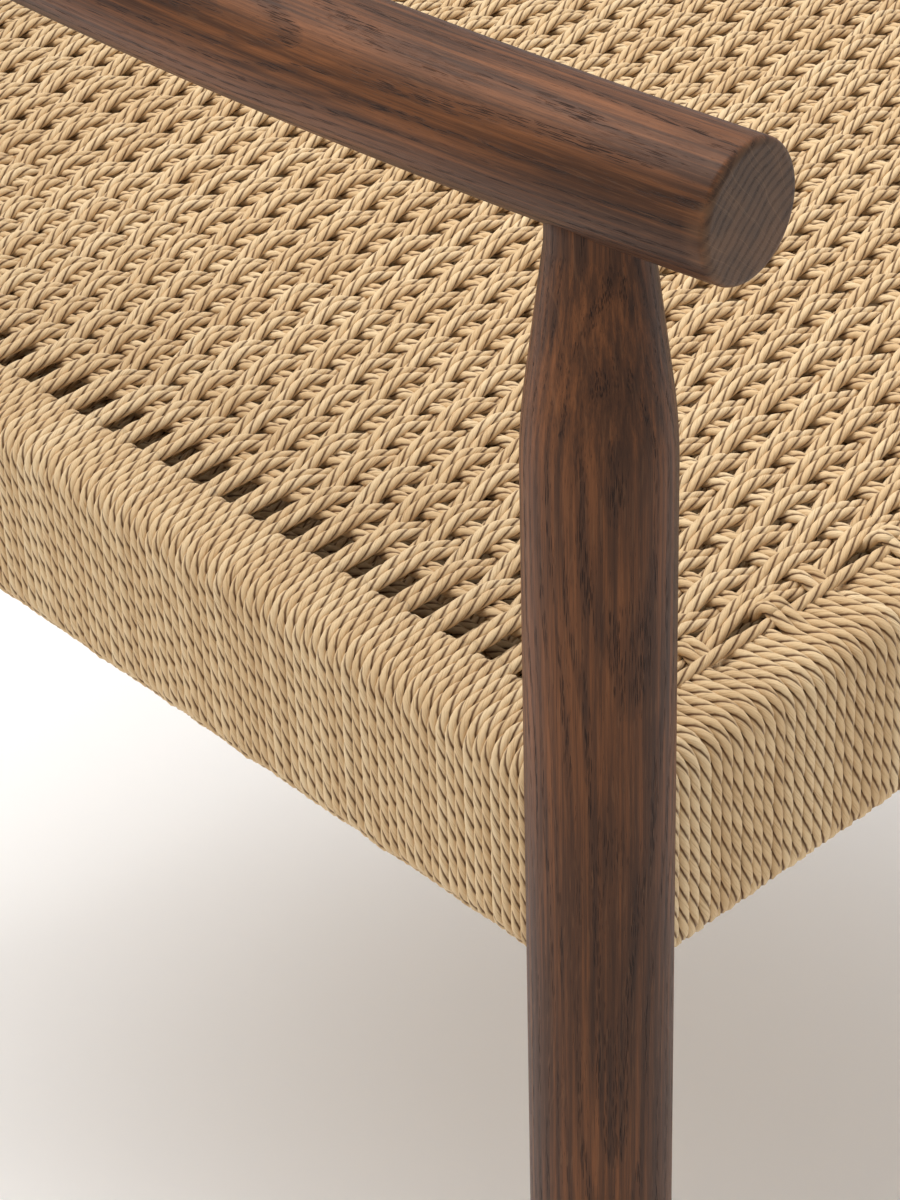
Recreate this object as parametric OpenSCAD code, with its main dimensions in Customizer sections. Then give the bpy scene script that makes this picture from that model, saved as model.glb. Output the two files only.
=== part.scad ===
// Low lounge armchair: turned oak frame, curved round arms, woven paper cord seat.
// Front of the chair is -Y, the sitter's right is -X, the floor is Z = 0.

/* [Legs] */
// Largest diameter of the round legs
leg_d = 36; // [32:1:42]
// Diameter of the legs at the floor
foot_d = 28; // [24:1:32]
// Diameter of the front leg where it meets the arm
neck_d = 24; // [22:1:28]
// Height over which the feet taper
foot_taper_h = 200; // [120:10:240]
// Thickness of the glides under the legs
glide_t = 3; // [2:0.5:5]

/* [Seat frame] */
// Spacing of the front legs, axis to axis
front_w = 620; // [560:5:660]
// Front leg axis to rear leg axis
seat_d = 560; // [500:5:600]
// Angle by which each side rail closes in towards the back
side_angle = 6.8; // [5:0.1:8]
// Height of the underside of the corded seat edge
edge_z = 344; // [320:2:380]
// Height of the corded seat edge
edge_h = 60.3; // [54:0.1:68]
// Thickness of the rails, without cord
rail_t = 22; // [20:1:26]
// Rounding of the rail edges
rail_r = 5; // [3:0.5:6]
// Corded front face to the leg axis
front_face = 6.4; // [4:0.2:8]
// Corded side face to the leg axis
side_face = 5.5; // [4:0.2:8]

/* [Cord] */
// Diameter of the paper cord
cord_d = 3.5; // [3:0.1:4]
// Spacing of the pairs of warp cords at the front rail
warp_pitch = 24.6; // [22:0.1:28]
// Spacing of the rows of weft cord
row_pitch = 6.8; // [6.8:0.1:8]

/* [Arms] */
// Height of the arm axis over the front legs
arm_z = 566; // [550:2:590]
// Diameter of the round arms
arm_d = 34; // [32:0.5:36]
// Arm in front of the front leg axis
arm_reach = 41; // [30:1:60]
// Radius of the bend in the front half of the arm, seen from above
arm_bend_r = 1550; // [1450:10:1650]
// Outward angle of the arm over the front leg
arm_toe = 1.1; // [0:0.1:2]
// Rise of the arm towards the back
arm_rise = 1.1; // [0:0.1:2]
// Rounding of the arm's front edge
arm_edge_r = 2; // [1:0.5:5]

/* [Back] */
// Rake of the back posts
rake = 12; // [8:1:14]
// Height at which the rear legs start to bend
bend_z = 430; // [425:1:440]
// Radius of the bend in the rear legs
bend_r = 300; // [200:10:320]
// Length of the raked posts above the bend
post_l = 290; // [284:1:320]
// Depth of the hollow of the back slats
slat_sag = 45; // [30:1:60]
// Thickness of the back slats
slat_t = 18; // [16:1:20]

/* [Joints] */
// Diameter of the dowels
dowel_d = 10; // [8:1:10]
// Diameter of the round tenon on the front leg
tenon_d = 14; // [12:1:16]
// Clearance all round a glued dowel or tenon
glue_gap = 0.1; // [0.05:0.05:0.2]
// Shank diameter of the glide nails
nail_d = 1.8; // [1.6:0.1:2.2]

/* [Hidden] */

$fn = 64;
// Where a bent rod runs into a straight one, the inner of the two is this much thinner and laps this far.
join_step = 0.05;
join_lap = 2;
leg_r = leg_d / 2;
arm_r = arm_d / 2;
oak = "#5a3e2e";
cord_tan = "#d9bd8f";

// Slats as [start, height] along the raked post, from the end of the bend.
lower_slat = [14, 42];
middle_slat = [118, 50];
crest_rail = [214, 62];
slat_edge_r = 8;
slat_shoulder = 7;
tenon_t = 9;
tenon_in = 14;

// Rear legs and the place where the arms reach them.
rear_w = front_w - 2 * seat_d * tan(side_angle);
bend_back = bend_r * (1 - cos(rake));
bend_top_z = bend_z + bend_r * sin(rake);
bend_lap = join_lap / bend_r * 180 / PI;
arm_end_z = arm_z + seat_d * tan(arm_rise);
arm_run = seat_d + bend_back + (arm_end_z - bend_top_z) * tan(rake);
arm_shift = (front_w - rear_w) / 2;

// The necks of the front legs: an arc of small radius change, then a straight cone.
shoulder_z = edge_z + 148;
shoulder_tilt = 7.2;
shoulder_arc_r = 160;

// The whole depth runs from the arm's end to the crest; its middle is Y = 0.
slat_r = (pow(rear_w / 2, 2) + pow(slat_sag, 2)) / (2 * slat_sag);
crest_top = crest_rail[0] + crest_rail[1] - slat_edge_r;
crest_back = (slat_sag + slat_t / 2 - slat_edge_r) * cos(rake) + crest_top * sin(rake) + slat_edge_r;
depth = arm_reach + seat_d + bend_back + crest_back;
front_y = arm_reach - depth / 2;
rear_y = front_y + seat_d;

// Rails inside their cord.
rail_h = edge_h - 2 * cord_d;
wrap_t = rail_t + 2 * cord_d;
wrap_r = rail_r + cord_d;
side_l = seat_d / cos(side_angle);

// Seat strands: pairs of cords laid flat. They go round the rails, so a lower layer runs back
// under the seat: weft pairs outermost, above and below, warp pairs inside them.
well_gap = wrap_t - front_face;
side_well_gap = wrap_t - side_face;
weft_z = edge_z + edge_h - cord_d / 2;
warp_z = weft_z - cord_d;
lower_weft_z = edge_z + cord_d / 2;
lower_warp_z = lower_weft_z + cord_d;
pair_w = row_pitch - 0.2;
warp_n = round((front_w - 2 * wrap_t) / warp_pitch);
row_n = floor((seat_d - 2 * well_gap) / row_pitch);
function warp_x(k) = (k - (warp_n - 1) / 2) * warp_pitch;
function row_y(j) = front_y + seat_d / 2 + (j - (row_n - 1) / 2) * row_pitch;

// The outer warps fan: the outermost follows the side rail, the ones inside it turn less and less.
fan_n = 5;
function warp_shift(k) = -sign(warp_x(k)) * arm_shift * max(0, fan_n - min(k, warp_n - 1 - k)) / fan_n;

glide_nail_l = 18;
// Gap left between the cord of a rail and the legs.
wrap_clear = 0.3;

// Dowel heights above the seat edge, staggered so that they miss each other in the leg.
front_dowel_z = [12, 36];
side_dowel_z = [24, 48];
dowel_in_leg = 14;
dowel_l = 36;
front_rail_v = wrap_t / 2 - front_face;
side_rail_v = wrap_t / 2 - side_face;
front_corner = (90 - side_angle) / 2;
rear_corner = -(90 + side_angle) / 2;

// Bend of the arm: s is the length of its curved part behind the front leg.
arm_s = arm_run - sqrt(pow(arm_run, 2) - 2 * arm_bend_r * (arm_shift + arm_toe * PI / 180 * arm_run));
arm_head_0 = -arm_toe - (arm_reach - arm_edge_r) / arm_bend_r * 180 / PI;
arm_head_1 = -arm_toe + arm_s / arm_bend_r * 180 / PI;
arm_end_l = (arm_run - arm_bend_r * (sin(arm_toe) + sin(arm_head_1))) / cos(arm_head_1);
function arm_point(h) = [
    arm_bend_r * (cos(arm_toe) - cos(h)),
    arm_bend_r * (sin(arm_toe) + sin(h))
];

// ---------- shared shapes ----------

module rounded_rect(w, h, r) {
    square([w - 2 * r, h], center = true);
    square([w, h - 2 * r], center = true);
    for (x = [-1, 1], y = [-1, 1])
        translate([x * (w / 2 - r), y * (h / 2 - r)]) circle(r);
}

module bar(w, h, r, l) {
    // A rounded bar of length l along +X, its section centred on the axis.
    rotate([90, 0, 90]) linear_extrude(l) rounded_rect(w, h, r);
}

module left_side() {
    mirror([1, 0, 0]) children();
}

module at_front_leg() {
    translate([-front_w / 2, front_y, 0]) children();
}

module at_rear_leg() {
    translate([-rear_w / 2, rear_y, 0]) children();
}

module along_side() {
    // Frame of the right side rail: +Y runs back along it, +X points into the seat.
    at_front_leg() rotate([0, 0, -side_angle]) children();
}

module at_all_legs() {
    for (s = [0, 1]) mirror([s, 0, 0]) {
        at_front_leg() children();
        at_rear_leg() children();
    }
}

module raked() {
    // Frame of the back: +Z runs up the posts from the end of their bend.
    translate([0, rear_y + bend_back, bend_top_z]) rotate([-rake, 0, 0]) children();
}

module post_rods(r) {
    for (x = [-1, 1]) translate([x * rear_w / 2, 0, -50]) cylinder(h = post_l + 60, r = r);
}

module leg_rods(r) {
    at_all_legs() translate([0, 0, edge_z - 20]) cylinder(h = edge_h + 40, r = r);
}

// ---------- dowels between rails and legs ----------

module front_dowel_pair(r, slack = 0) {
    at_front_leg() for (z = front_dowel_z)
        translate([leg_r - dowel_in_leg - slack, front_rail_v, edge_z + z])
            rotate([0, 90, 0]) cylinder(h = dowel_l + 2 * slack, r = r);
}

module rear_dowel_pair(r, slack = 0) {
    at_rear_leg() for (z = front_dowel_z)
        translate([leg_r - dowel_in_leg - slack, -front_rail_v, edge_z + z])
            rotate([0, 90, 0]) cylinder(h = dowel_l + 2 * slack, r = r);
}

module side_dowel_pairs(r, slack = 0) {
    along_side() for (z = side_dowel_z, y = [leg_r - dowel_in_leg, side_l - leg_r + dowel_in_leg - dowel_l])
        translate([side_rail_v, y - slack, edge_z + z])
            rotate([-90, 0, 0]) cylinder(h = dowel_l + 2 * slack, r = r);
}

module both_sides() {
    children();
    left_side() children();
}

module oak_dowels() {
    color("#b48a5a") children();
}

// ---------- legs ----------

module foot_profile(top_z) {
    polygon([
        [0, glide_t], [foot_d / 2 - 1.5, glide_t], [foot_d / 2, glide_t + 1.5],
        [leg_r, foot_taper_h], [leg_r, top_z], [0, top_z]
    ]);
}

module neck_profile() {
    polygon(concat(
        [[0, shoulder_z]],
        [for (i = [0:6]) let (a = shoulder_tilt * i / 6)
            [leg_r - shoulder_arc_r * (1 - cos(a)), shoulder_z + shoulder_arc_r * sin(a)]],
        [[neck_d / 2, arm_z - arm_r], [neck_d / 2, arm_z], [0, arm_z]]
    ));
}

module neck_tenon(r, slack = 0) {
    at_front_leg() translate([0, 0, arm_z - arm_r - 4]) cylinder(h = arm_r + 8 + slack, r = r);
}

module front_leg() {
    color(oak) difference() {
        union() {
            at_front_leg() rotate_extrude() foot_profile(shoulder_z);
            difference() {
                at_front_leg() rotate_extrude() neck_profile();
                arm_rod();
            }
            neck_tenon(tenon_d / 2);
        }
        front_dowel_pair(dowel_d / 2 + glue_gap, 0.5);
        side_dowel_pairs(dowel_d / 2 + glue_gap, 0.5);
        glide_nail(nail_d / 2);
    }
}

module post_top_profile() {
    round_r = 5;
    square([leg_r, post_l - round_r]);
    square([leg_r - round_r, post_l]);
    translate([leg_r - round_r, post_l - round_r]) circle(round_r);
}

module rear_leg() {
    color(oak) difference() {
        union() {
            at_rear_leg() {
                rotate_extrude() foot_profile(bend_z);
                translate([0, bend_r, bend_z]) rotate([90, 0, -90])
                    rotate_extrude(angle = rake + bend_lap)
                        translate([bend_r, 0]) circle(leg_r - join_step);
            }
            raked() translate([-rear_w / 2, 0, 0]) rotate_extrude() post_top_profile();
        }
        rear_dowel_pair(dowel_d / 2 + glue_gap, 0.5);
        side_dowel_pairs(dowel_d / 2 + glue_gap, 0.5);
        raked() for (s = [lower_slat, middle_slat, crest_rail]) slat_tenons(s, glue_gap);
        arm_dowel(dowel_d / 2 + glue_gap, 0.5);
        glide_nail(nail_d / 2);
    }
}

// ---------- seat frame and its cord, in layers round one centre line ----------

module front_plan() {
    // Plan of everything that belongs to the front rail, mitred at the legs.
    reach = 80;
    tip = [-front_w / 2 + reach * cos(front_corner), front_y + reach * sin(front_corner)];
    polygon([
        [-front_w / 2, front_y - 30], [-front_w / 2, front_y], tip,
        [-tip[0], tip[1]], [front_w / 2, front_y], [front_w / 2, front_y - 30]
    ]);
}

module rear_plan() {
    reach = 80;
    tip = [-rear_w / 2 + reach * cos(rear_corner), rear_y + reach * sin(rear_corner)];
    polygon([
        [-rear_w / 2, rear_y + 30], [-rear_w / 2, rear_y], tip,
        [-tip[0], tip[1]], [rear_w / 2, rear_y], [rear_w / 2, rear_y + 30]
    ]);
}

module side_plan() {
    reach = 80;
    polygon([
        [-front_w / 2 - 30, front_y], [-front_w / 2, front_y],
        [-front_w / 2 + reach * cos(front_corner), front_y + reach * sin(front_corner)],
        [-rear_w / 2 + reach * cos(rear_corner), rear_y + reach * sin(rear_corner)],
        [-rear_w / 2, rear_y], [-rear_w / 2 - 30, rear_y]
    ]);
}

module cut_to_plan() {
    intersection() {
        children(0);
        translate([0, 0, edge_z - 20]) linear_extrude(edge_h + 40) children(1);
    }
}

module front_bar(t, h, r) {
    translate([-front_w / 2, front_y + front_rail_v, edge_z + edge_h / 2]) bar(t, h, r, front_w);
}

module rear_bar(t, h, r) {
    translate([-rear_w / 2, rear_y - front_rail_v, edge_z + edge_h / 2]) bar(t, h, r, rear_w);
}

module side_bar(t, h, r) {
    // Longer than the rail at both ends; side_plan() trims it.
    along_side() translate([side_rail_v, -leg_r, edge_z + edge_h / 2])
        rotate([0, 0, 90]) bar(t, h, r, side_l + 2 * leg_r);
}

module front_rail() {
    color(oak) difference() {
        cut_to_plan() { front_bar(rail_t, rail_h, rail_r); front_plan(); }
        leg_rods(leg_r);
        front_dowel_pair(dowel_d / 2 + glue_gap, 0.5);
        left_side() front_dowel_pair(dowel_d / 2 + glue_gap, 0.5);
    }
}

module rear_rail() {
    color(oak) difference() {
        cut_to_plan() { rear_bar(rail_t, rail_h, rail_r); rear_plan(); }
        leg_rods(leg_r);
        rear_dowel_pair(dowel_d / 2 + glue_gap, 0.5);
        left_side() rear_dowel_pair(dowel_d / 2 + glue_gap, 0.5);
    }
}

module side_rail() {
    color(oak) difference() {
        cut_to_plan() { side_bar(rail_t, rail_h, rail_r); side_plan(); }
        leg_rods(leg_r);
        side_dowel_pairs(dowel_d / 2 + glue_gap, 0.5);
    }
}

module front_rail_wraps() {
    color(cord_tan) difference() {
        cut_to_plan() { front_bar(wrap_t, edge_h, wrap_r); front_plan(); }
        front_bar(rail_t, rail_h, rail_r);
        leg_rods(leg_r + wrap_clear);
    }
}

module rear_rail_wraps() {
    color(cord_tan) difference() {
        cut_to_plan() { rear_bar(wrap_t, edge_h, wrap_r); rear_plan(); }
        rear_bar(rail_t, rail_h, rail_r);
        leg_rods(leg_r + wrap_clear);
    }
}

module side_rail_wraps() {
    color(cord_tan) difference() {
        cut_to_plan() { side_bar(wrap_t, edge_h, wrap_r); side_plan(); }
        side_bar(rail_t, rail_h, rail_r);
        leg_rods(leg_r + wrap_clear);
    }
}

// ---------- woven seat ----------

module seat_well() {
    // The space between the corded rails.
    translate([0, 0, edge_z - 1]) linear_extrude(edge_h + 2) difference() {
        polygon([
            [-front_w / 2, front_y + well_gap], [front_w / 2, front_y + well_gap],
            [rear_w / 2, rear_y - well_gap], [-rear_w / 2, rear_y - well_gap]
        ]);
        for (s = [0, 1]) mirror([s, 0]) translate([-front_w / 2, front_y]) rotate(-side_angle)
            translate([-60, -20]) square([60 + side_well_gap, side_l + 40]);
    }
}

module pair_bar(l) {
    bar(pair_w, cord_d, cord_d / 2 - 0.05, l);
}

module warp_cords(z) {
    color(cord_tan) intersection() {
        for (k = [0:warp_n - 1])
            translate([warp_x(k), front_y, z]) rotate([0, 0, 90 - atan(warp_shift(k) / seat_d)])
                pair_bar(seat_d + 20);
        seat_well();
    }
}

module weft_cords(z) {
    color(cord_tan) intersection() {
        for (j = [0:row_n - 1])
            translate([-front_w / 2, row_y(j), z]) pair_bar(front_w);
        seat_well();
    }
}

// ---------- arms ----------

module on_arm_plan() {
    // Plan of the right arm, tilted by its rise about the top of the front leg.
    translate([-front_w / 2, front_y, arm_z]) rotate([arm_rise, 0, 0]) children();
}

module at_arm_point(h) {
    // Frame on the arm's axis at heading h: +Z points back along the arm.
    translate(arm_point(h)) rotate([-90, 0, -h]) children();
}

module arm_end_profile() {
    r = arm_r - join_step;
    square([r, join_lap]);
    translate([0, -arm_edge_r]) square([r - arm_edge_r, arm_edge_r + join_lap]);
    translate([r - arm_edge_r, 0]) circle(arm_edge_r);
}

module arm_rod() {
    on_arm_plan() {
        translate([arm_bend_r * cos(arm_toe), arm_bend_r * sin(arm_toe), 0])
            rotate([0, 0, 180 - arm_head_1]) rotate_extrude(angle = arm_head_1 - arm_head_0, $fn = 360)
                translate([arm_bend_r, 0]) circle(arm_r, $fn = 64);
        at_arm_point(arm_head_1) translate([0, 0, -join_lap])
            cylinder(h = arm_end_l + join_lap, r = arm_r - join_step);
        at_arm_point(arm_head_0) rotate_extrude() arm_end_profile();
    }
}

module arm_dowel(r, slack = 0) {
    on_arm_plan() at_arm_point(arm_head_1)
        translate([0, 0, arm_end_l - dowel_l + 2 - slack - (leg_r - dowel_in_leg)])
            cylinder(h = dowel_l - 2 + 2 * slack, r = r);
}

module arm() {
    color(oak) difference() {
        arm_rod();
        neck_tenon(tenon_d / 2 + glue_gap, 0.5);
        raked() post_rods(leg_r);
        arm_dowel(dowel_d / 2 + glue_gap, 0.5);
    }
}

// ---------- back ----------

module slat_arc(half_w) {
    // Sweeps a section drawn at the slat's radius, out to half_w each side.
    half = asin(half_w / slat_r);
    translate([0, slat_sag - slat_r, 0]) rotate([0, 0, 90 - half])
        rotate_extrude(angle = 2 * half, $fn = 180) children();
}

module slat_tenons(s, slack = 0) {
    slat_arc(rear_w / 2 - leg_r + tenon_in + 2 * slack)
        translate([slat_r, s[0] + s[1] / 2])
            square([tenon_t + 2 * slack, s[1] - 2 * slat_shoulder + 2 * slack], center = true);
}

module slat(s) {
    color(oak) raked() {
        difference() {
            slat_arc(rear_w / 2) translate([slat_r, s[0] + s[1] / 2])
                rounded_rect(slat_t, s[1], slat_edge_r, $fn = 48);
            post_rods(leg_r);
        }
        slat_tenons(s);
    }
}

// ---------- feet ----------

module glide_nail(r) {
    at_all_legs() translate([0, 0, glide_t / 2]) cylinder(h = glide_nail_l, r = r);
}

module leg_glides() {
    color("dimgray") difference() {
        at_all_legs() cylinder(h = glide_t, r = foot_d / 2 - 2);
        glide_nails_shape();
    }
}

module glide_nails_shape() {
    at_all_legs() translate([0, 0, glide_t / 2]) {
        cylinder(h = glide_nail_l, r = nail_d / 2);
        cylinder(h = 1, r = 2 * nail_d);
    }
}

module glide_nails() {
    color("silver") glide_nails_shape();
}

front_leg();  // front_leg_right
left_side() front_leg();  // front_leg_left
rear_leg();  // rear_leg_right
left_side() rear_leg();  // rear_leg_left
front_rail();
rear_rail();
side_rail();  // side_rail_right
left_side() side_rail();  // side_rail_left
arm();  // arm_right
left_side() arm();  // arm_left
slat(lower_slat);  // lower_back_slat
slat(middle_slat);  // middle_back_slat
slat(crest_rail);  // crest_slat
both_sides() oak_dowels() front_dowel_pair(dowel_d / 2);  // front_rail_dowels
both_sides() oak_dowels() rear_dowel_pair(dowel_d / 2);  // rear_rail_dowels
oak_dowels() side_dowel_pairs(dowel_d / 2);  // side_rail_dowels_right
left_side() oak_dowels() side_dowel_pairs(dowel_d / 2);  // side_rail_dowels_left
both_sides() oak_dowels() arm_dowel(dowel_d / 2);  // arm_dowels
front_rail_wraps();
rear_rail_wraps();
side_rail_wraps();  // side_rail_wraps_right
left_side() side_rail_wraps();  // side_rail_wraps_left
warp_cords(warp_z);  // seat_warp_cords
weft_cords(weft_z);  // seat_weft_cords
warp_cords(lower_warp_z);  // lower_warp_cords
weft_cords(lower_weft_z);  // lower_weft_cords
leg_glides();
glide_nails();
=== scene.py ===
"""Looks of the armchair: turned smoked-oak frame, woven paper cord seat."""

import math

import bpy
import numpy as np
from mathutils import Matrix, Vector


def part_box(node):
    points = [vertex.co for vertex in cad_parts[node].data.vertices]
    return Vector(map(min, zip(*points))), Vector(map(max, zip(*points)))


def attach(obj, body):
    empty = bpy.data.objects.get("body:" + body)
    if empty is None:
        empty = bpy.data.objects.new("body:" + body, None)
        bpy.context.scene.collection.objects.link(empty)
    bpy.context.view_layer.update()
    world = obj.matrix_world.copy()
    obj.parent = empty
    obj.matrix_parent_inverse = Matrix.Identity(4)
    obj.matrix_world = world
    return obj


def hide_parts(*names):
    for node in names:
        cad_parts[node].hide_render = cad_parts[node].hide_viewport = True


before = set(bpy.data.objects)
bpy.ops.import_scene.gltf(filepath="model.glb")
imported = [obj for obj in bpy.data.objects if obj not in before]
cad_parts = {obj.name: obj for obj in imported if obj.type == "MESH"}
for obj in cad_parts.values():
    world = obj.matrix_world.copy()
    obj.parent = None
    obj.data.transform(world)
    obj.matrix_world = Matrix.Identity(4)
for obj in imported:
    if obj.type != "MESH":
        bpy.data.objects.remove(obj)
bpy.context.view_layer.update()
rng = np.random.default_rng(7)

# ---------------------------------------------------------------- places, in millimetres, from the frame


def box_mm(node):
    low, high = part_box(node)
    return np.array(low) * 1000, np.array(high) * 1000


LEG_R = 18.0
leg_low, leg_high = box_mm("front_leg_right")
rear_low, rear_high = box_mm("rear_leg_right")
wrap_low, wrap_high = box_mm("front_rail_wraps")
LEG_X = -(leg_low[0] + leg_high[0]) / 2
FRONT_Y = (leg_low[1] + leg_high[1]) / 2
REAR_X = -(rear_low[0] + rear_high[0]) / 2
REAR_Y = rear_low[1] + LEG_R
FOOT_Z = leg_low[2]
EDGE_Z, EDGE_TOP = wrap_low[2], wrap_high[2]
SEAT_D = REAR_Y - FRONT_Y
SIDE_TURN = math.atan2(LEG_X - REAR_X, SEAT_D)

# Section of a corded rail, measured on the outside of the cord.
WRAP_T, WRAP_R = 29.0, 8.5
FRONT_FACE, SIDE_FACE = 6.4, 5.5
CORD_D = 3.5

# Woven seat.
WARP_N, WARP_PITCH, FAN_N = 23, 24.6, 5
WEFT_N, WEFT_GAP = 154, 19.9
WEAVE_Z = EDGE_Z + 56.0
LAY = 19.5

# Arms and back posts.
ARM_Z, ARM_REACH, ARM_BEND = 566.0, 41.0, 1550.0
ARM_TOE, ARM_RISE = math.radians(1.1), math.radians(1.1)
BEND_Z, BEND_R, RAKE, POST_L = 430.0, 300.0, math.radians(12), 290.0
SLAT_SAG, SLAT_T, SLAT_EDGE = 45.0, 18.0, 8.0
SLATS = {"lower_back_slat": (14, 42), "middle_back_slat": (118, 50), "crest_slat": (214, 62)}


# ---------------------------------------------------------------- mesh building


def new_piece(name, verts_mm, faces, node_names, material, point_data):
    """A smooth mesh of quads and triangles (triangles repeat their last corner) on the root body."""
    mesh = bpy.data.meshes.new(name)
    mesh.vertices.add(len(verts_mm))
    mesh.vertices.foreach_set("co", (np.asarray(verts_mm) / 1000).astype(np.float32).ravel())
    faces = np.asarray(faces)
    triangle = faces[:, 2] == faces[:, 3]
    counts = np.where(triangle, 3, 4)
    keep = np.ones(faces.shape, bool)
    keep[triangle, 3] = False
    loops = faces[keep].astype(np.int32)
    mesh.loops.add(len(loops))
    mesh.loops.foreach_set("vertex_index", loops)
    mesh.polygons.add(len(faces))
    mesh.polygons.foreach_set("loop_start", np.concatenate([[0], np.cumsum(counts)[:-1]]).astype(np.int32))
    mesh.polygons.foreach_set("loop_total", counts.astype(np.int32))
    mesh.polygons.foreach_set("use_smooth", np.ones(len(faces), bool))
    for key, values in point_data.items():
        values = np.asarray(values, np.float32)
        if values.ndim == 2:
            mesh.attributes.new(key, "FLOAT_VECTOR", "POINT").data.foreach_set("vector", values.ravel())
        else:
            mesh.attributes.new(key, "FLOAT", "POINT").data.foreach_set("value", values)
    mesh.update(calc_edges=True)
    mesh.materials.append(material)
    ob = bpy.data.objects.new(name, mesh)
    bpy.context.scene.collection.objects.link(ob)
    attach(ob, "root")
    if node_names:
        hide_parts(*node_names)
    return ob


def grid_faces(rings, around):
    """Quads between rings of equal size, with a fan closing each end."""
    i = np.arange(rings - 1)[:, None] * around
    k = np.arange(around)[None, :]
    nxt = (k + 1) % around
    quads = np.stack([i + k, i + nxt, i + around + nxt, i + around + k], -1).reshape(-1, 4)
    k, nxt = k[0], nxt[0]
    last = (rings - 1) * around
    start = np.stack([nxt, k, np.full(around, rings * around), np.full(around, rings * around)], -1)
    tip = rings * around + 1
    end = np.stack([last + k, last + nxt, np.full(around, tip), np.full(around, tip)], -1)
    return np.concatenate([quads, start, end])


def sweep(centres, across, upward, section):
    """Rings of a closed section at each centre; section(i) gives its (u, v) points."""
    rings = []
    for i, c in enumerate(centres):
        uv = section(i)
        rings.append(c + uv[:, :1] * across[i] + uv[:, 1:] * upward[i])
    ends = np.array([centres[0], centres[-1]])
    return np.concatenate(rings + [ends])


def round_section(radius, around):
    a = np.arange(around) * 2 * math.pi / around
    return np.stack([radius * np.cos(a), radius * np.sin(a)], -1)


def frames_along(points, side):
    """Unit vectors across the path, from one side direction that is never along it."""
    tangent = np.gradient(points, axis=0)
    tangent /= np.linalg.norm(tangent, axis=1)[:, None]
    across = side - (tangent @ side)[:, None] * tangent
    across /= np.linalg.norm(across, axis=1)[:, None]
    return across, np.cross(tangent, across)


# ---------------------------------------------------------------- materials


class Nodes:
    """Short names for adding and joining shader nodes."""

    def __init__(self, name):
        self.material = bpy.data.materials.new(name)
        self.material.use_nodes = True
        self.tree = self.material.node_tree
        self.tree.nodes.clear()
        self.out = self.tree.nodes.new("ShaderNodeOutputMaterial")
        self.shader = self.tree.nodes.new("ShaderNodeBsdfPrincipled")
        self.tree.links.new(self.shader.outputs[0], self.out.inputs[0])

    def put(self, socket, value):
        if isinstance(value, bpy.types.NodeSocket):
            self.tree.links.new(value, socket)
        else:
            socket.default_value = value

    def node(self, kind, inputs=None, **settings):
        n = self.tree.nodes.new(kind)
        for k, v in settings.items():
            setattr(n, k, v)
        for k, v in (inputs or {}).items():
            self.put(n.inputs[k], v)
        return n

    def math(self, op, a, b=0.0, c=0.0):
        return self.node("ShaderNodeMath", {0: a, 1: b, 2: c}, operation=op).outputs[0]

    def vec(self, op, a, b=(0, 0, 0), out=0):
        return self.node("ShaderNodeVectorMath", {0: a, 1: b}, operation=op).outputs[out]

    def noise(self, vector, scale=1.0, detail=2.0, rough=0.5, out=0):
        inputs = {"Vector": vector, "Scale": scale, "Detail": detail, "Roughness": rough}
        return self.node("ShaderNodeTexNoise", inputs).outputs[out]

    def step(self, value, low, high, to_low=0.0, to_high=1.0):
        n = self.node("ShaderNodeMapRange", {"Value": value, "From Min": low, "From Max": high,
                                             "To Min": to_low, "To Max": to_high},
                      interpolation_type="SMOOTHSTEP")
        return n.outputs[0]

    def mix(self, factor, a, b):
        n = self.node("ShaderNodeMix", {"Factor": factor}, data_type="RGBA")
        self.put(n.inputs["A"], a)
        self.put(n.inputs["B"], b)
        return n.outputs["Result"]

    def ramp(self, factor, stops):
        n = self.node("ShaderNodeValToRGB", {"Fac": factor})
        while len(n.color_ramp.elements) < len(stops):
            n.color_ramp.elements.new(0.5)
        for e, (at, colour) in zip(n.color_ramp.elements, stops):
            e.position, e.color = at, (*colour, 1)
        return n.outputs[0]

    def attribute(self, name, out="Vector"):
        return self.node("ShaderNodeAttribute", attribute_name=name).outputs[out]


def srgb(r, g, b):
    def linear(c):
        c /= 255
        return c / 12.92 if c <= 0.04045 else ((c + 0.055) / 1.055) ** 2.4
    return linear(r), linear(g), linear(b)


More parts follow.
